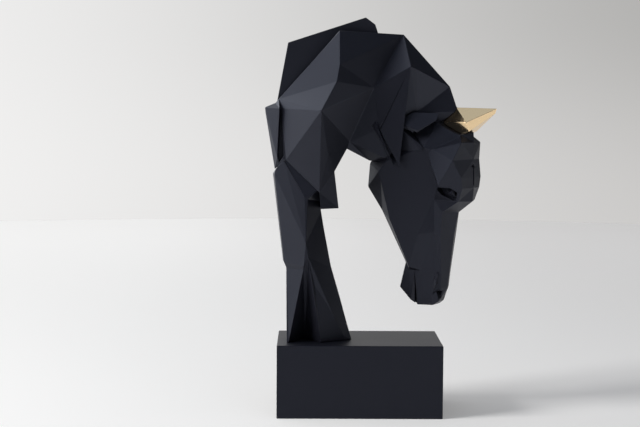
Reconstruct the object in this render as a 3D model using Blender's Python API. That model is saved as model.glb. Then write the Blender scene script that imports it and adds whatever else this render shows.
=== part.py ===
"""A faceted horse: head, bent neck and shoulder on one leg-like column, standing on a plain block.

The figure is drawn on a grid of equal steps, 325 to its height, so a point reads in millimetres at
the real size. Each mass is a relief: named points of its near side, each with how far it stands out
from the mass's middle plane, joined by the outline and the creases, and mirrored on that plane.
"""
import math

import bmesh
import bpy
from mathutils import Matrix, Vector
from mathutils.geometry import delaunay_2d_cdt, intersect_point_line

MM = 0.001

# The block
PLINTH_WIDTH = 165 * MM
PLINTH_DEPTH = 100 * MM
PLINTH_HEIGHT = 73 * MM

# The figure
FIGURE_HEIGHT = 325 * MM
GRID_STEPS = 325
STEP = FIGURE_HEIGHT / GRID_STEPS
SEAT_GAP = 0.3 * MM
HORN_GAP = 0.3 * MM
SWING_START = 20
SWING_RATE = 0.0033
HEAD_PIVOT = (60, -5)
HEAD_TURN = math.radians(30)
MERGE = 0.001

# Points are (along, up, half): half is how far the point stands out from the middle plane.
BODY = {
    "hook": (-96.5, 234.5, 0), "notch": (-85.5, 239, 3), "fan": (-82, 243, 5), "lip": (-81.2, 233.6, 14),
    "lip_foot": (-83.5, 184, 12), "cleft": (-79.5, 233.5, 10),
    "withers": (-21.5, 310.5, 26), "knot": (-21.5, 277, 38.5), "spur": (-24.5, 260, 42.5),
    "point": (-39.5, 231.5, 49.5), "brisket": (-41, 150.5, 34), "keel": (-39.5, 134, 34),
    "girth": (-74.5, 182, 16), "tail": (-86, 172.5, 5),
    "breast_top": (-32.5, 189, 35), "breast": (-26, 171, 25), "breast_foot": (-21.5, 134, 21),
    "heart": (13, 254.5, 22), "throat_side": (-11, 200.5, 16), "throat": (-13.5, 193.5, 16.5),
    "jowl_side": (23.5, 185, 20), "gullet": (9.5, 181.5, 7), "lock_root": (18, 213, 22),
    "crest": (43, 308, 4), "curl": (48.5, 275.5, 32.5), "comb": (54.5, 273, 28),
    "ear_root": (56, 230.5, 20), "nook": (37, 193, 20),
    "nape": (88.5, 256, 6), "poll": (96.5, 231, 8), "collar": (66, 214, 12), "collar_foot": (39, 178, 10),
}
BODY_OUTLINE = ("hook", "notch", "fan", "withers", "crest", "nape", "poll", "collar", "collar_foot",
                "gullet", "throat", "breast", "breast_foot", "keel", "brisket", "girth", "tail")
BODY_CREASES = (
    ("fan", "knot", "withers"), ("fan", "spur", "knot"), ("fan", "point", "spur"),
    ("hook", "lip", "cleft", "point"), ("lip", "lip_foot", "girth"),
    ("cleft", "girth", "point", "brisket", "keel"),
    ("point", "breast_top", "breast"), ("point", "throat_side"), ("point", "heart", "spur"),
    ("throat", "throat_side", "heart"), ("throat_side", "jowl_side", "gullet"),
    ("heart", "knot", "crest", "heart"), ("crest", "curl", "heart"), ("crest", "comb", "nape"),
    ("heart", "lock_root", "jowl_side"), ("curl", "comb", "ear_root", "nape"), ("ear_root", "poll"),
    ("ear_root", "nook", "lock_root"), ("curl", "ear_root"), ("curl", "lock_root"),
)
MANE = {"mane_foot": (-84, 239.8, 2.5), "mane_back": (-73, 299.5, 4.5), "mane_top": (5, 325, 4.5),
        "mane_turn": (14.5, 318, 4.5), "mane_front": (18.5, 306, 4.5), "mane_root": (10, 240, 4.5)}
COLUMN = {
    "back_top": (-86.5, 168, 8), "yoke_back": (-85, 172.5, 9), "yoke": (-76.5, 182, 14),
    "elbow": (-55.5, 146, 30), "elbow_front": (-52.5, 143.5, 30.5), "knee": (-54, 100, 35),
    "inside_top": (-41.5, 153.5, 30), "inside_mid": (-40, 140, 10), "front_top": (-39, 130, 9),
    "front_high": (-36, 112, 8.5), "front_mid": (-28.5, 73, 7), "front_low": (-19, 40.5, 6),
    "front_ankle": (-10.5, 9.5, 6), "front_toe": (-7.5, 0, 8),
    "back_ring": (-76.3, 79.5, 17), "ring": (-56, 77, 34.5),
    "back_low": (-73.8, 74, 17.5), "ring_low": (-56.5, 73, 32),
    "heel": (-73, 0, 31), "heel_front": (-71, 0, 32),
    "split": (-51.8, 86, 34.4), "cleft_foot": (-55, 0, 6), "toe": (-38.5, 0, 31), "toe_side": (-15, 0, 15),
    "shin_top": (-45, 57, 29), "shin": (-33, 38.5, 23.5), "shin_foot": (-15.5, 5, 15),
    "core_back": (-70, 200, 6), "core_front": (-35, 200, 6),
}
COLUMN_SPINE = {"back_top": (-88, 168), "back_ring": (-77.5, 79.5)}
COLUMN_OUTLINE = ("back_top", "yoke_back", "yoke", "core_back", "core_front", "inside_top", "inside_mid",
                  "front_top", "front_high", "front_mid", "front_low", "front_ankle", "front_toe",
                  "toe_side", "toe", "cleft_foot", "heel_front", "heel", "back_low", "back_ring")
COLUMN_CREASES = (
    ("yoke", "elbow", "elbow_front", "inside_mid"), ("elbow", "inside_top", "elbow_front"),
    ("elbow", "knee", "ring", "back_ring"), ("ring", "ring_low", "back_low"), ("ring_low", "heel_front"),
    ("knee", "split", "cleft_foot"), ("split", "toe"), ("ring", "split"), ("ring_low", "split"),
    ("split", "front_mid"), ("elbow_front", "knee", "front_mid"), ("split", "shin_top", "shin", "shin_foot"),
    ("shin_foot", "toe_side"), ("split", "toe_side"), ("yoke", "knee"),
)
HEAD = {
    "forelock": (51, 208.2, 14.1), "brow_top": (49.7, 205.3, 16), "brow_high": (56.5, 201, 23.4),
    "brow_front": (51.6, 183.7, 32.5),
    "brow_nose": (57, 166.5, 24), "brow_end": (57, 156, 21), "brow_tail": (52.5, 143, 20),
    "nose_top": (35.5, 132, 20.5), "nose_mid": (33, 108, 19), "nose_low": (31, 72, 11.5),
    "nostril_front": (30, 55, 9), "lip_front": (26, 41, 6),
    "lip_foot": (20, 37, 8), "lip_back": (3.5, 36.5, 8),
    "chin_foot": (-6.4, 40.3, 4), "chin": (-18, 53, 5.2), "chin_top": (-7.5, 79.7, 13.5),
    "bar": (-31.5, 131, 19.5), "jaw": (-47.8, 155, 20), "jowl": (-45.8, 178.4, 20),
    "nape_back": (-34, 205, 8), "crown": (0, 226, 10), "temple_top": (26.2, 220.4, 15),
    "seat_back": (34, 215.7, 15.2), "seat_mid": (44.1, 210.8, 15.1),
    "temple": (12.6, 221.6, 13), "temple_foot": (17.2, 196.2, 25.5), "brow_fold": (25, 193.7, 24.7),
    "brow_back": (20.7, 190, 24.4), "brow_low": (30, 157.5, 19.8), "brow_tip": (36, 158.6, 32),
    "cheek_top": (-30, 171, 31.5), "cheek_crest": (-22, 181, 31), "cheek_back": (-28, 162.8, 30.4),
    "jaw_edge": (-20, 122.6, 25.4), "bar_edge": (-2, 75.5, 17.8), "cheekbone": (25.7, 143.8, 19.3),
    "cheekbone_foot": (25.5, 111.8, 18), "cheek_point": (8.5, 109.2, 19.2),
    "mouth_back": (-5, 72, 11.5), "mouth_top": (2, 72, 12), "lip_top": (8, 72, 12.5),
    "nostril_top": (24, 68, 12.5), "nostril_low": (20, 48, 10),
}
HEAD_SPINE = {
    "forelock": (59.1, 211.3), "brow_high": (59.8, 201), "brow_front": (59.5, 184.2), "brow_nose": (60, 166),
    "brow_end": (60, 156), "brow_tail": (59, 142.5), "nose_top": (44, 131), "nose_mid": (39.5, 108),
    "nose_low": (35, 72), "nostril_front": (33, 55), "chin_top": (-10, 79), "bar": (-36, 130),
    "jaw": (-51, 154), "jowl": (-48, 178),
}
HEAD_OUTLINE = ("forelock", "brow_high", "brow_front", "brow_nose", "brow_end", "brow_tail", "nose_top",
                "nose_mid", "nose_low", "nostril_front", "lip_front", "lip_foot", "lip_back", "chin_foot",
                "chin", "chin_top", "bar", "jaw", "jowl", "nape_back", "crown", "temple_top",
                "seat_back", "seat_mid")
HEAD_CREASES = (
    ("forelock", "brow_top", "brow_fold", "temple_foot"), ("brow_top", "brow_high", "brow_fold"),
    ("temple_top", "temple", "temple_foot", "temple_top"),
    ("crown", "temple"), ("brow_fold", "brow_back", "brow_front"), ("brow_fold", "brow_front"),
    ("temple_foot", "brow_back"), ("brow_front", "brow_tip", "brow_back", "brow_low", "brow_tip"),
    ("brow_tip", "brow_nose"), ("brow_tip", "brow_end"), ("brow_low", "cheekbone", "nose_top"),
    ("jowl", "cheek_top", "cheek_back", "jaw_edge", "bar_edge", "mouth_back"),
    ("jaw", "cheek_back"), ("cheek_top", "cheek_crest", "temple_foot"), ("chin_top", "bar_edge"),
    ("cheekbone", "cheekbone_foot", "cheek_point", "cheekbone"),
    ("cheek_point", "bar_edge"), ("cheekbone_foot", "nose_mid"), ("cheekbone", "nose_mid"),
    ("mouth_back", "mouth_top", "lip_top", "nostril_top", "nose_low"), ("mouth_back", "chin"),
    ("lip_top", "lip_back"), ("mouth_top", "chin_foot"), ("nostril_top", "nostril_low", "lip_foot"),
    ("cheek_point", "lip_top"), ("cheekbone_foot", "nostril_top"),
)
HORN = {
    "tip": (83.5, 234.5, 0), "tip_foot": (82.1, 229.8, 0), "top_back": (40, 235.5, 0),
    "side": (56.1, 220.7, 12), "side_back": (27.6, 220.9, 4), "corner": (58.1, 211.6, 9.5),
    "heel": (52.3, 208.5, 6.8), "keel": (58.7, 212, 0), "root": (40, 206, 2),
}
BIG_LOCK = {
    "curl": (48.5, 275.5, 34.5), "left": (19, 212, 26), "right": (36, 220, 31), "tip": (38, 177, 31),
    "inner": (40, 230, 14), "inner_tip": (36, 190, 14),
}
THIN_LOCK = {
    "top": (15, 222, 22), "left": (12, 216, 21), "right": (18.5, 211, 27), "tip": (31.5, 180.5, 30),
    "inner": (16, 222, 10), "inner_tip": (28, 190, 12),
}
EAR = {
    "tip": (-9.5, 221.5, 32), "back": (5, 230.5, 25), "front": (30, 230, 18),
    "front_foot": (29, 222.5, 22), "ridge": (12, 212.5, 31), "tip_rim": (-8.5, 219.3, 31.5),
    "ridge_rim": (11.5, 210.3, 30), "inner": (10, 218, 8),
}
EAR_FLAP = {
    "tip": (-9.5, 216.5, 31), "foot_back": (-9.5, 192, 27), "foot_front": (16, 192.5, 27),
    "front": (16.5, 196.5, 27), "inner": (0, 200, 14), "inner_top": (0, 212, 20),
}
EYE = {
    "front": (50.5, 147.2, 20), "top": (48, 155.3, 23), "back": (40.4, 154.3, 22), "foot": (43, 147.7, 20),
    "middle": (47, 151.3, 25), "inner": (45, 151, 10),
}
NOSTRIL_WING = {
    "back_top": (21.5, 71, 10), "front_top": (29, 71, 13.5), "front_foot": (26, 57, 14),
    "foot": (19, 46.5, 8), "back": (20, 61, 10), "inner": (25, 60, 4),
}

# Cutters: an outline, and the halves of the cut's floor and of its mouth, clear of the figure.
CLEFT = {"top": (-79.7, 232.3), "back": (-82.7, 186), "foot": (-81.7, 179), "front": (-76.6, 186)}
CLEFT_REACH = (3.5, 30)
EYE_SOCKET = {"back": (31, 157), "top": (46, 156.5), "high": (52, 152), "front": (50.5, 144.6),
              "low": (47, 144), "low_back": (36, 149.5)}
EYE_SOCKET_REACH = (17.5, 45)
MOUTH = {"corner": (1.4, 71), "chin": (-0.6, 34), "lip": (2.6, 34)}
MOUTH_REACH = (4, 20)
NOSTRIL = {"back": (25.5, 51), "top": (33, 53), "front": (33, 45), "foot": (27, 44)}
NOSTRIL_REACH = (5, 20)
BROW_GROOVE = {
    "high": (64, 177, 1.8), "low": (64, 157, 1.2), "floor_high": (54, 175, 0.5), "floor_low": (54, 160, 0.5),
}
BROW_NOTCH = {
    "peak": (66, 183, 1), "side": (64, 176, 9), "foot": (64, 174.5, 2), "floor": (55, 177.5, 0.8),
}


def on_grid(along, side, up):
    """A point of the standing figure, in metres: its foot rests on the block with a small gap."""
    return Vector((along * STEP, side * STEP, up * STEP + PLINTH_HEIGHT + SEAT_GAP))


def in_body(co):
    """The neck swings to the near side, by the square of how far a point lies past the start."""
    past = max(co.x - SWING_START, 0)
    return on_grid(co.x, co.y - SWING_RATE * past ** 2, co.z)


def in_head(co):
    """The head is turned to the near side about an upright axis through its pivot."""
    turned = Matrix.Rotation(-HEAD_TURN, 3, "Z") @ co
    return on_grid(turned.x + HEAD_PIVOT[0], turned.y + HEAD_PIVOT[1], turned.z)


def collection(name):
    found = bpy.data.collections.new(name)
    bpy.context.scene.collection.children.link(found)
    return found


def add_object(name, bm, home):
    mesh = bpy.data.meshes.new(name)
    bm.to_mesh(mesh)
    bm.free()
    obj = bpy.data.objects.new(name, mesh)
    home.objects.link(obj)
    return obj


def finish_body(bm, place):
    """Both halves of a mass get faces that point out, in triangles, and the mass goes to its place."""
    bmesh.ops.mirror(bm, geom=bm.verts[:] + bm.edges[:] + bm.faces[:], axis="Y", merge_dist=MERGE)
    bmesh.ops.triangulate(bm, faces=bm.faces[:])
    for vert in bm.verts:
        vert.co = place(vert.co)
    bmesh.ops.recalc_face_normals(bm, faces=bm.faces[:])
    return bm


def half_on_crease(spot, flat, edges, halves):
    """Where two creases cross: the half on the crease that passes closest to the spot."""
    shares = [(intersect_point_line(spot, flat[a], flat[b]), a, b) for a, b in edges]
    (_, share), a, b = min(shares, key=lambda item: (item[0][0].to_2d() - spot).length)
    return halves[a] + (halves[b] - halves[a]) * share


def relief(points, outline, creases, place, spine=None):
    """The near side from the named points, walls back to the middle plane, and its mirror image.

    The spine gives points of the outline another place on the middle plane.
    """
    spine = spine or {}
    names = list(points)
    flat = [Vector(points[name][:2]) for name in names]
    edges = [(names.index(a), names.index(b)) for chain in creases for a, b in zip(chain, chain[1:])]
    rim = [names.index(name) for name in outline]
    spots, _, faces, sources, _, _ = delaunay_2d_cdt(flat, edges, [rim], 1, MERGE)
    halves = [points[name][2] for name in names]
    bm = bmesh.new()
    verts = []
    for spot, source in zip(spots, sources):
        half = halves[source[0]] if source else half_on_crease(spot, flat, edges, halves)
        verts.append(bm.verts.new((spot.x, -half, spot.y)))
    for face in faces:
        bm.faces.new([verts[i] for i in face])
    walls = bmesh.ops.extrude_edge_only(bm, edges=[edge for edge in bm.edges if edge.is_boundary])
    moved = {points[name][:2]: spot for name, spot in spine.items()}
    for vert in (item for item in walls["geom"] if isinstance(item, bmesh.types.BMVert)):
        along, up = moved.get((round(vert.co.x, 3), round(vert.co.z, 3)), (vert.co.x, vert.co.z))
        vert.co = (along, 0, up)
    bmesh.ops.remove_doubles(bm, verts=bm.verts[:], dist=MERGE)
    return finish_body(bm, place)


def hull(points, place, split=False):
    """The faceted body around the named points and their mirror images, or one body on each side."""
    bm = bmesh.new()
    for along, up, half in points.values():
        bm.verts.new((along, -half, up))
        if not split and half:
            bm.verts.new((along, half, up))
    skin = bmesh.ops.convex_hull(bm, input=bm.verts[:])
    bmesh.ops.delete(bm, geom=skin["geom_interior"], context="VERTS")
    if split:
        return finish_body(bm, place)
    for vert in bm.verts:
        vert.co = place(vert.co)
    bmesh.ops.recalc_face_normals(bm, faces=bm.faces[:])
    return bm


def cutter(outline, reach, place):
    """A body on each side that fills the outline between two halves: the cut's floor and its mouth."""
    points = {(name, half): (along, up, half) for name, (along, up) in outline.items() for half in reach}
    return hull(points, place, split=True)


def swell(bm, gap):
    """Every face of a closed body moves out by the gap."""
    bm.normal_update()
    moves = [vert.normal * gap * vert.calc_shell_factor() for vert in bm.verts]
    for vert, move in zip(bm.verts, moves):
        vert.co += move
    return bm


def combine(target, other, operation):
    step = target.modifiers.new(other.name, "BOOLEAN")
    step.operation = operation
    step.solver = "EXACT"
    step.object = other


def material(name, colour, roughness, metallic):
    made = bpy.data.materials.new(name)
    made.use_nodes = True
    shader = made.node_tree.nodes["Principled BSDF"]
    shader.inputs["Base Color"].default_value = (*colour, 1)
    shader.inputs["Roughness"].default_value = roughness
    shader.inputs["Metallic"].default_value = metallic
    made.diffuse_color = (*colour, 1)
    return made


def build_plinth(home):
    bpy.ops.mesh.primitive_cube_add(size=1, location=(0, 0, PLINTH_HEIGHT / 2))
    block = bpy.context.object
    block.name = block.data.name = "plinth"
    block.scale = (PLINTH_WIDTH, PLINTH_DEPTH, PLINTH_HEIGHT)
    bpy.ops.object.transform_apply(location=False, rotation=False, scale=True)
    for owner in block.users_collection:
        owner.objects.unlink(block)
    home.objects.link(block)
    return block


def build_horse(home, helpers):
    horse = add_object("horse", relief(BODY, BODY_OUTLINE, BODY_CREASES, in_body), home)
    parts = {
        "mane": relief(MANE, tuple(MANE), (), in_body),
        "column": relief(COLUMN, COLUMN_OUTLINE, COLUMN_CREASES, in_body, COLUMN_SPINE),
        "head": relief(HEAD, HEAD_OUTLINE, HEAD_CREASES, in_head, HEAD_SPINE),
        "big_lock": hull(BIG_LOCK, in_body, split=True),
        "thin_lock": hull(THIN_LOCK, in_body, split=True),
        "ear": hull(EAR, in_head, split=True),
        "ear_flap": hull(EAR_FLAP, in_head, split=True),
    }
    cuts = {
        "cleft": cutter(CLEFT, CLEFT_REACH, in_body),
        "eye_socket": cutter(EYE_SOCKET, EYE_SOCKET_REACH, in_head),
        "mouth": cutter(MOUTH, MOUTH_REACH, in_head),
        "nostril": cutter(NOSTRIL, NOSTRIL_REACH, in_head),
        "brow_groove": hull(BROW_GROOVE, in_head),
        "brow_notch": hull(BROW_NOTCH, in_head),
    }
    fills = {
        "eye": hull(EYE, in_head, split=True),
        "nostril_wing": hull(NOSTRIL_WING, in_head, split=True),
    }
    for masses, operation in ((parts, "UNION"), (cuts, "DIFFERENCE"), (fills, "UNION")):
        for name, bm in masses.items():
            combine(horse, add_object(name, bm, helpers), operation)
    socket = add_object("horn_socket", swell(hull(HORN, in_head), HORN_GAP), helpers)
    combine(horse, socket, "DIFFERENCE")
    return horse


def build_horn(home):
    return add_object("horn", hull(HORN, in_head), home)


def main():
    for obj in list(bpy.data.objects):
        bpy.data.objects.remove(obj, do_unlink=True)
    parts = collection("geometric_horse")
    helpers = collection("helpers")
    satin_black = material("satin_black", (0.012, 0.012, 0.015), 0.42, 0.0)
    gold = material("polished_gold", (0.85, 0.66, 0.42), 0.12, 1.0)
    build_plinth(parts).data.materials.append(satin_black)
    build_horse(parts, helpers).data.materials.append(satin_black)
    build_horn(parts).data.materials.append(gold)
    for helper in helpers.objects:
        helper.hide_render = True
        helper.display_type = "WIRE"


main()
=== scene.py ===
# %% [markdown]
# # A faceted horse in satin black, with a gold horn
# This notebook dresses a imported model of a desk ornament: a horse's head, neck and shoulder built
# from flat facets, on one leg-like column and a plain block. The solids come from CAD and keep
# their place. Here they get what a caster and a painter would add: softened arrises, lacquer, gold
# plating and light.

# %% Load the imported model
import math

import bmesh
import bpy
import numpy as np
from mathutils import Matrix, Vector


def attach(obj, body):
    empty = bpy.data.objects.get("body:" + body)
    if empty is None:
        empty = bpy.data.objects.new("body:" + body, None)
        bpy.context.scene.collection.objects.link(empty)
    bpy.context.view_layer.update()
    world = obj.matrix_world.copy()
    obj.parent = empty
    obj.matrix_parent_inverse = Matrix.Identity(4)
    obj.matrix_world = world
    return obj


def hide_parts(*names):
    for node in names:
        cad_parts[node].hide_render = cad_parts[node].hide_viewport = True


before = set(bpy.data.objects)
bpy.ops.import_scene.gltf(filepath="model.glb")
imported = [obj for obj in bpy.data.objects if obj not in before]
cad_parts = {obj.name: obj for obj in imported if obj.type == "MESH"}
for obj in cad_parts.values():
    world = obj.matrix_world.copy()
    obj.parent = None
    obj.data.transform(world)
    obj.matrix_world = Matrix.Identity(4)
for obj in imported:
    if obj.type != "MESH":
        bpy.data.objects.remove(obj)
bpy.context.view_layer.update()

MM = 0.001
print("nodes:", ", ".join(sorted(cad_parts)))

# %% [markdown]
# ## The camera
# The view was solved from the six corners of the block that can be seen. The lens is long and the
# camera looks down by four degrees, so uprights stay nearly parallel. Three directions make the
# turn: where it looks, what is up in the frame, and their cross product.

# %% Camera
EYE = Vector((-52.1, -1466.0, 305.5)) * MM
LOOK = Vector((0.00825, 0.99741, -0.07141))
FRAME_UP = Vector((-0.00486, 0.07145, 0.99743))
LENS = 81.4
SENSOR = 36.0


def turn_to(look, up):
    """The turn whose columns are right (look x up), up and backwards, as a camera and a lamp
    need it."""
    right = look.cross(up).normalized()
    return Matrix((right, right.cross(look).normalized(), -look.normalized())).transposed()


camera = bpy.data.objects.new("camera", bpy.data.cameras.new("camera"))
camera.data.lens, camera.data.sensor_width = LENS, SENSOR
camera.matrix_world = Matrix.Translation(EYE) @ turn_to(LOOK, FRAME_UP).to_4x4()
bpy.context.scene.collection.objects.link(camera)
bpy.context.scene.camera = camera
bpy.context.scene.view_settings.view_transform = "Standard"
print("camera at", tuple(round(c, 3) for c in camera.location))

# %% [markdown]
# ## Surfaces from numbers
# The floor, the wall and the cards of the studio are sheets: a grid of points worked out as whole
# arrays, and joined by quads. One helper builds the quads, and closes the sheet along its second
# direction if asked.

# %% Sheet helper
def sheet(name, points, closed=False):
    """A mesh from a (rows, columns, 3) array. Each quad joins a point to its right and lower
    neighbours. A closed sheet also joins the last column to the first."""
    rows, columns = points.shape[:2]
    numbers = np.arange(rows * columns).reshape(rows, columns)
    if closed:
        numbers = np.hstack([numbers, numbers[:, :1]])
    corners = [numbers[:-1, :-1], numbers[:-1, 1:], numbers[1:, 1:], numbers[1:, :-1]]
    mesh = bpy.data.meshes.new(name)
    mesh.from_pydata(points.reshape(-1, 3), [], np.stack(corners, axis=-1).reshape(-1, 4))
    made = bpy.data.objects.new(name, mesh)
    bpy.context.scene.collection.objects.link(made)
    print(name, "has", len(mesh.polygons), "quads")
    return made


# %% [markdown]
# ## Shader maths as Python
# A finish is easier to read as sums than as boxes and noodles. `Wire` wraps one socket, and each
# operator adds a Math node, so `0.3 + 0.1 * grain` builds what it says. Only sums and products are
# needed here. Both also work with the number first.

# %% Wire
class Wire:
    """A value that flows through a node tree. Operators on it add Math nodes."""

    def __init__(self, finish, socket):
        self.finish, self.socket = finish, socket

    def _math(self, operation, first, second):
        return self.finish.node("ShaderNodeMath", {"operation": operation}, {0: first, 1: second})

    def __add__(self, other):
        return self._math("ADD", self, other)

    def __radd__(self, other):
        return self._math("ADD", other, self)

    def __mul__(self, other):
        return self._math("MULTIPLY", self, other)

    def __rmul__(self, other):
        return self._math("MULTIPLY", other, self)


# %% [markdown]
# ## One class for every finish
# Each material starts from a Principled shader. A value that is the same all over goes straight to
# the shader's socket, and one method adds any other node. Patterns read Object coordinates, so they
# are laid out in metres and stay put on the piece.

# %% Finish
MIX_SHARE, MIX_FIRST, MIX_SECOND, MIX_RESULT = 0, 6, 7, 2


class Finish:
    """One material: a Principled shader, and nodes that are added to it by name."""

    def __init__(self, name, colour, **fixed):
        self.material = bpy.data.materials.new(name)
        self.material.use_nodes = True
        self.tree = self.material.node_tree
        self.shader = self.tree.nodes["Principled BSDF"]
        self.set("Base Color", (*colour, 1))
        for socket, value in fixed.items():
            self.set(socket.replace("_", " "), value)

    def set(self, socket, value):
        """A number, a colour or a Wire goes to one of the shader's sockets."""
        self._feed(self.shader.inputs[socket], value)

    def _feed(self, socket, value):
        if isinstance(value, Wire):
            self.tree.links.new(value.socket, socket)
        else:
            socket.default_value = value

    def node(self, kind, settings=None, inputs=None, output=0):
        """Any node. Its settings come first, because some of them change its sockets."""
        made = self.tree.nodes.new(kind)
        for name, value in (settings or {}).items():
            setattr(made, name, value)
        for socket, value in (inputs or {}).items():
            self._feed(made.inputs[socket], value)
        return Wire(self, made.outputs[output])

    def place(self):
        """The point on the piece, in metres."""
        return self.node("ShaderNodeTexCoord", output="Object")

    def along(self, axis):
        """One coordinate of the point: X, Y or Z."""
        return self.node("ShaderNodeSeparateXYZ", None, {0: self.place()}, output=axis)

    def noise(self, scale, detail=2.0, roughness=0.5):
        """Noise from 0 to 1 whose cells are about 1/scale metres across."""
        return self.node("ShaderNodeTexNoise", None,
                         {"Vector": self.place(), "Scale": scale, "Detail": detail,
                          "Roughness": roughness})

    def ramp(self, value, start, end):
        """0 where the value is at start and 1 where it is at end, smooth at both."""
        return self.node("ShaderNodeMapRange", {"interpolation_type": "SMOOTHSTEP"},
                         {"Value": value, "From Min": start, "From Max": end})

    def blend(self, share, first, second):
        """A colour between two others. A Mix node has sockets of its own for colours."""
        first, second = (c if isinstance(c, Wire) else (*c, 1) for c in (first, second))
        return self.node("ShaderNodeMix", {"data_type": "RGBA"},
                         {MIX_SHARE: share, MIX_FIRST: first, MIX_SECOND: second},
                         output=MIX_RESULT)

    def relief(self, height, distance):
        """Fine bumps: the height, from 0 to 1, times a distance in metres."""
        self.set("Normal", self.node("ShaderNodeBump", None,
                                     {"Height": height, "Distance": distance}))


# %% [markdown]
# ## Paper that glows with painted light
# White paper in a white room gets light back from every side. A few lamps can't give it that, so
# the paper glows a little by itself: painted light. The left of the picture, nearer the lamps, is
# brighter than its right, so each glow is a painted fall of light. It is a blend across the
# picture, and a second blend changes it with distance or height.

# %% Paper
PAPER_ROUGHNESS = 0.9
# Colours of the painted light. Each pair gives the left colour, then the right one.
FLOOR_NEAR = (0.25, 0.245, 0.235), (0.18, 0.17, 0.16)
FLOOR_FAR = (0.42, 0.415, 0.405), (0.285, 0.275, 0.265)
FLOOR_SPAN = 0.5
FAR_START, FAR_END = 0.2, 2.2
WALL_FOOT = (0.88, 0.875, 0.87), (0.54, 0.53, 0.52)
WALL_HIGH = (0.84, 0.835, 0.83), (0.40, 0.395, 0.385)
WALL_SPAN, WALL_RISE = 1.6, 0.7


def paper(name, albedo, glow):
    """White paper that sends back a share of the light, and adds a glow of its own as painted
    light.
    """
    made = Finish(name, (albedo,) * 3, Roughness=PAPER_ROUGHNESS, Specular_IOR_Level=0.0,
                  Emission_Strength=1.0)
    made.set("Emission Color", glow(made))
    print(name, "nodes:", len(made.tree.nodes))
    return made


def floor_painted_light(made):
    """Painted light on the floor: it fades from left to right, and grows with distance."""
    across = made.ramp(made.along("X"), -FLOOR_SPAN, FLOOR_SPAN)
    near, far = (made.blend(across, *pair) for pair in (FLOOR_NEAR, FLOOR_FAR))
    return made.blend(made.ramp(made.along("Y"), FAR_START, FAR_END), near, far)


def wall_painted_light(made):
    """Painted light on the wall: it fades from left to right, and from the wall's foot upwards."""
    across = made.ramp(made.along("X"), -WALL_SPAN, WALL_SPAN)
    foot, high = (made.blend(across, *pair) for pair in (WALL_FOOT, WALL_HIGH))
    return made.blend(made.ramp(made.along("Z"), 0.0, WALL_RISE), foot, high)


# %% [markdown]
# ## A seamless studio
# A product photographer sweeps one sheet of paper from the table up the wall, so no corner shows.
# The floor here is a round sheet, and its rim curves up into the wall by the same rule at every
# bearing, so the studio looks alike from all sides. The wall is in two parts. The backdrop lights
# the ornament and is mirrored in it. The rest, called the room, is only for the eye: the real
# studio was dark there, and the lacquer mirrors it as black.

# %% Studio sweep
FLOOR_REACH = 2.6
FLOOR_RINGS = np.array([0.0005, 0.3, 1.0, FLOOR_REACH])
FLOOR_ALBEDO, WALL_ALBEDO = 0.78, 0.05
SWEEP_RADIUS, SWEEP_STEPS = 1.2, 24
WALL_TOP = 4.0
BEARINGS = 96
FULL_TURN = 2 * math.pi
BACKDROP_START, BACKDROP_END = math.radians(68), math.pi


def ring_sheet(name, radius, height, bearings, closed, finish):
    """Each (radius, height) pair is carried round the upright axis through the bearings."""
    points = np.stack([radius[:, None] * np.cos(bearings), radius[:, None] * np.sin(bearings),
                       height[:, None] * np.ones(len(bearings))], axis=-1)
    made = sheet(name, points, closed)
    made.data.shade_smooth()
    made.data.materials.append(finish.material)
    return made


quarter = np.linspace(0, math.pi / 2, SWEEP_STEPS)
wall_profile = (FLOOR_REACH + np.append(SWEEP_RADIUS * np.sin(quarter), SWEEP_RADIUS),
                np.append(SWEEP_RADIUS * (1 - np.cos(quarter)), WALL_TOP))
# The floor, the backdrop and the room glow with the paper's painted light.
ring_sheet("floor", FLOOR_RINGS, np.zeros(len(FLOOR_RINGS)),
           np.linspace(0, FULL_TURN, BEARINGS, endpoint=False), True,
           paper("floor_paper", FLOOR_ALBEDO, floor_painted_light))
backdrop = ring_sheet("backdrop", *wall_profile,
                      np.linspace(BACKDROP_START, BACKDROP_END, BEARINGS // 2), False,
                      paper("backdrop_paper", WALL_ALBEDO, wall_painted_light))
backdrop.visible_shadow = False
room = ring_sheet("room", *wall_profile,
                  np.linspace(BACKDROP_END, FULL_TURN + BACKDROP_START, BEARINGS // 2), False,
                  paper("room_paper", WALL_ALBEDO, wall_painted_light))
room.visible_diffuse = room.visible_glossy = room.visible_shadow = False
print("floor reaches", FLOOR_REACH, "m, then the wall sweeps up to", WALL_TOP, "m")

# %% [markdown]
# ## Cards for the mirror: painted reflections
# Facets that lean forwards mirror the floor in front of the picture. In the real studio it was
# brighter on the right than on the left. So a glowing bright card and a dark one lie there, and
# they paint a bright reflection and a dark one. They are for reflections only, and neither the
# camera nor the shadows know of them.

# %% Cards
CARD_LIFT = 1.0 * MM
CARD_NEAR, CARD_FAR = -0.3, -1.9
CARD_INNER, CARD_OUTER = 0.28, 1.7
BRIGHT_PAINTED_REFLECTION, DARK_PAINTED_REFLECTION = (1.7, 1.68, 1.64), (0.15, 0.15, 0.16)


def card(name, inner, outer, glow):
    """A flat sheet just above the floor in front of the picture. It spans from one distance aside
    to another, and its glow is a painted reflection."""
    points = np.array([[(inner, CARD_NEAR, CARD_LIFT), (outer, CARD_NEAR, CARD_LIFT)],
                       [(inner, CARD_FAR, CARD_LIFT), (outer, CARD_FAR, CARD_LIFT)]])
    made = sheet(name, points)
    made.data.materials.append(paper(name, 0.0, lambda finish: (*glow, 1)).material)
    made.visible_camera = made.visible_diffuse = made.visible_shadow = False


# The bright card paints a bright reflection, and the dark card paints a dark one.
card("bright_painted_reflection", CARD_INNER, CARD_OUTER, BRIGHT_PAINTED_REFLECTION)
card("dark_painted_reflection", -CARD_INNER, -CARD_OUTER, DARK_PAINTED_REFLECTION)
print("cards lie from", CARD_NEAR, "to", CARD_FAR, "m")

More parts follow.
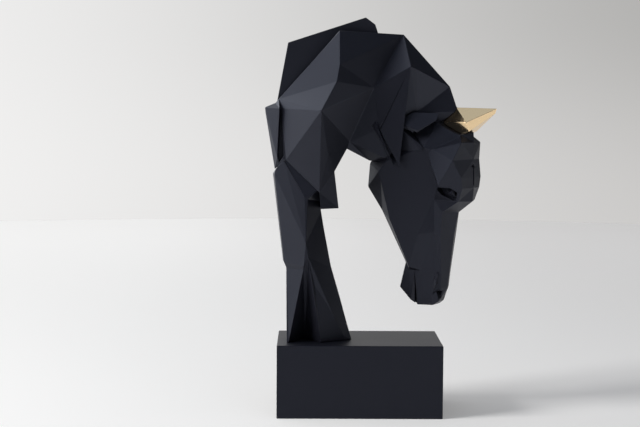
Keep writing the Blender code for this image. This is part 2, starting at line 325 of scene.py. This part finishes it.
# %% [markdown]
# ## Light
# The shadow on the floor tells where the key lamp was: to the left and a little in front, thirty
# degrees up. The facets tell the rest, because satin lacquer is a blurred mirror. Those turned to
# the left read pale from a broad bright side wall, those turned up have a faint blue sheen from a
# high ceiling, and the ones that look back past the camera stay nearly black. So the key only
# lights, the side wall only mirrors, and two faint cards, one in front and one at the right, keep
# the dark facets from closing up.

# %% Lamps
TARGET = Vector((0.0, 0.0, 0.2))
UPRIGHT = Vector((0, 0, 1))
WHITE, WARM, COOL, SKY = (1, 1, 1), (1.0, 0.985, 0.965), (0.90, 0.945, 1.0), (0.78, 0.88, 1.0)
LAMP_DISTANCE, CEILING_DISTANCE = 3.0, 3.2


def soft_box(name, bearing, rise, size, watts, colour=WHITE, distance=LAMP_DISTANCE):
    """A flat lamp that faces the ornament from a bearing (degrees left of the camera) and a rise.
    Its place is the target plus the distance times that direction."""
    side, up = math.radians(bearing), math.radians(rise)
    place = TARGET + distance * Vector((-math.sin(side) * math.cos(up),
                                        -math.cos(side) * math.cos(up), math.sin(up)))
    lamp = bpy.data.lights.new(name, "AREA")
    lamp.shape = "RECTANGLE"
    lamp.size, lamp.size_y = size
    lamp.energy, lamp.color = watts, colour
    made = bpy.data.objects.new(name, lamp)
    made.matrix_world = Matrix.Translation(place) @ turn_to(TARGET - place, UPRIGHT).to_4x4()
    made.visible_camera = False
    bpy.context.scene.collection.objects.link(made)
    return made


key = soft_box("key", bearing=69, rise=30, size=(1.2, 1.0), watts=78, colour=WARM)
key.visible_glossy = False
side_wall = soft_box("side_wall", bearing=118, rise=23, size=(4.6, 3.0), watts=104, colour=COOL)
side_wall.visible_diffuse = False
soft_box("side_card", bearing=-98, rise=5, size=(1.8, 1.4), watts=2.8)
soft_box("front_card", bearing=0, rise=2, size=(2.4, 1.6), watts=2.4)
soft_box("ceiling", bearing=10, rise=72, size=(4.4, 3.2), watts=24, colour=SKY,
         distance=CEILING_DISTANCE)

# %% [markdown]
# ## What is left over
# The world stands for light from everywhere else. It is faint and a little blue, so that no facet
# is quite black.

# %% World
WORLD_COLOUR, WORLD_STRENGTH = (0.80, 0.86, 1.0, 1), 0.085

world = bpy.data.worlds.new("studio")
world.use_nodes = True
background = world.node_tree.nodes["Background"]
background.inputs["Color"].default_value = WORLD_COLOUR
background.inputs["Strength"].default_value = WORLD_STRENGTH
bpy.context.scene.world = world
print("world strength:", WORLD_STRENGTH)

# %% [markdown]
# ## Satin black lacquer
# The real finish is a sprayed, slightly blue black over cast resin. Up close such a coat has a
# faint orange peel, a fine grain that scatters the highlight, and clouds where it went on a little
# thicker. Three noises at three scales make them. The block mirrors a little less than the figure.

# %% Satin black
COAT_COLOUR, COAT_TINT = (0.010, 0.010, 0.014), (0.75, 0.80, 1.0, 1.0)
THICK_COAT, THIN_COAT = (0.0078, 0.0082, 0.0125), (0.0100, 0.0104, 0.0150)
COAT_ROUGHNESS, CLOUD_ROUGHNESS, GRAIN_ROUGHNESS = 0.36, 0.06, 0.08
CLOUD_SCALE, PEEL_SCALE, GRAIN_SCALE = 14, 420, 1500
PEEL_SHARE, GRAIN_SHARE, PEEL_HEIGHT = 0.7, 0.3, 0.04 * MM
FIGURE_GLOSS, BLOCK_GLOSS = 0.39, 0.32


def satin_black(name, gloss):
    """The lacquer, with a stated share of mirroring."""
    lacquer = Finish(name, COAT_COLOUR, Specular_IOR_Level=gloss, Specular_Tint=COAT_TINT)
    clouds = lacquer.noise(CLOUD_SCALE, detail=3)
    grain = lacquer.noise(GRAIN_SCALE, detail=2, roughness=0.6)
    peel = lacquer.noise(PEEL_SCALE, detail=1)
    lacquer.set("Base Color", lacquer.blend(clouds, THICK_COAT, THIN_COAT))
    lacquer.set("Roughness", COAT_ROUGHNESS + CLOUD_ROUGHNESS * clouds + GRAIN_ROUGHNESS * grain)
    lacquer.relief(PEEL_SHARE * peel + GRAIN_SHARE * grain, PEEL_HEIGHT)
    print(name, "nodes:", len(lacquer.tree.nodes))
    return lacquer


figure_lacquer = satin_black("figure_lacquer", FIGURE_GLOSS)
block_lacquer = satin_black("block_lacquer", BLOCK_GLOSS)

# %% [markdown]
# ## Polished gold plating
# The horn is plated: a metal mirror with a very slight waviness from hand polishing, and hairline
# changes in gloss. Its colour is pale, nearer champagne than yellow.

# %% Gold
CHAMPAGNE = (0.93, 0.70, 0.42)
POLISH_ROUGHNESS, HAIRLINE_ROUGHNESS = 0.10, 0.08
WAVE_SCALE, HAIRLINE_SCALE = 60, 900
WAVE_SHARE, HAIRLINE_SHARE, WAVE_HEIGHT = 0.8, 0.2, 0.05 * MM

gold = Finish("polished_gold", CHAMPAGNE, Metallic=1.0)
wave = gold.noise(WAVE_SCALE, detail=1)
hairline = gold.noise(HAIRLINE_SCALE, detail=3, roughness=0.7)
gold.set("Roughness", POLISH_ROUGHNESS + HAIRLINE_ROUGHNESS * hairline)
gold.relief(WAVE_SHARE * wave + HAIRLINE_SHARE * hairline, WAVE_HEIGHT)
print("gold nodes:", len(gold.tree.nodes))

# %% [markdown]
# ## Softened arrises
# A CAD solid has perfectly sharp edges, and no casting does: the mould, the sanding and the paint
# round each arris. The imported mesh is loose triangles, so a copy is merged, its flat neighbours
# joined, and a Bevel modifier rounds what is left. The copy keeps only points and faces: normals
# stored with the triangles would bend the flat facets. The plain block gets the widest round. The
# horse's is narrower, because its locks and strips are thin.

# %% Rounding helper
FLAT_ANGLE = math.radians(0.4)
SHARP_ANGLE = math.radians(2.5)
MERGE_DISTANCE = 0.05 * MM
ROUND_STEPS = 2


def softened(node, name, width, finish):
    """A copy of a node with its triangles merged into facets, and every arris rounded by width."""
    bm = bmesh.new()
    bm.from_mesh(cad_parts[node].data)
    bmesh.ops.remove_doubles(bm, verts=bm.verts[:], dist=MERGE_DISTANCE)
    bmesh.ops.dissolve_limit(bm, angle_limit=FLAT_ANGLE, verts=bm.verts[:], edges=bm.edges[:])
    bm.verts.index_update()
    mesh = bpy.data.meshes.new(name)
    mesh.from_pydata([vert.co for vert in bm.verts], [],
                     [[vert.index for vert in face.verts] for face in bm.faces])
    bm.free()
    mesh.shade_smooth()
    mesh.materials.append(finish.material)
    made = bpy.data.objects.new(name, mesh)
    bpy.context.scene.collection.objects.link(made)
    bevel = made.modifiers.new("arris", "BEVEL")
    bevel.width, bevel.segments = width, ROUND_STEPS
    bevel.limit_method, bevel.angle_limit = "ANGLE", SHARP_ANGLE
    bevel.use_clamp_overlap = False
    bevel.harden_normals = True
    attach(made, "root")
    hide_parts(node)
    print(name, "has", len(mesh.polygons), "facets")


# %% Horse, horn and plinth
softened("horse", "horse_casting", 0.45 * MM, figure_lacquer)
softened("horn", "horn_plating", 0.3 * MM, gold)
softened("plinth", "plinth_block", 0.8 * MM, block_lacquer)
